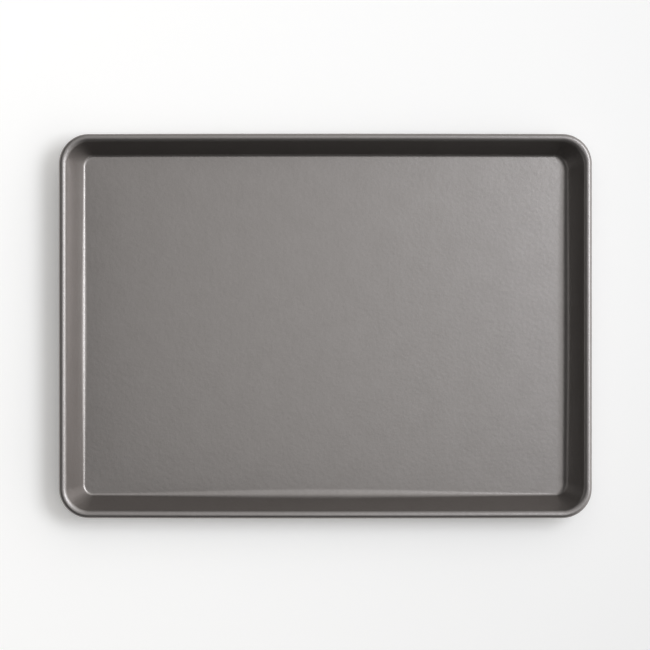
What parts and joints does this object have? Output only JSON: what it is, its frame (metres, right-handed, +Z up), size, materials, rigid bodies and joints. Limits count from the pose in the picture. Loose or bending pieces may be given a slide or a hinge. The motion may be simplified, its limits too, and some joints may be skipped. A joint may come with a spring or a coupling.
{
  "type": "jelly roll pan",
  "caption": "Shallow rectangular baking pan of coated steel sheet with a flat floor, flared walls, rounded corners and a rim curled around a stiffening wire.",
  "frame": {"origin": "on the table, under the middle of the floor", "axes": "+Z up out of the open side, +X along the pan's length, +Y across to the side where the wire's ends butt"},
  "size_m": [0.4572, 0.3302, 0.0254],
  "materials": {
    "coated_sheet": "satin warm grey nonstick coating with fine metallic flake, on both sides of the sheet",
    "bare_wire": "drawn low carbon steel wire, uncoated inside the curl"
  },
  "bodies": {
    "root": {"pan_sheet": "coated_sheet", "rim_wire": "bare_wire"}
  },
  "joints": []
}
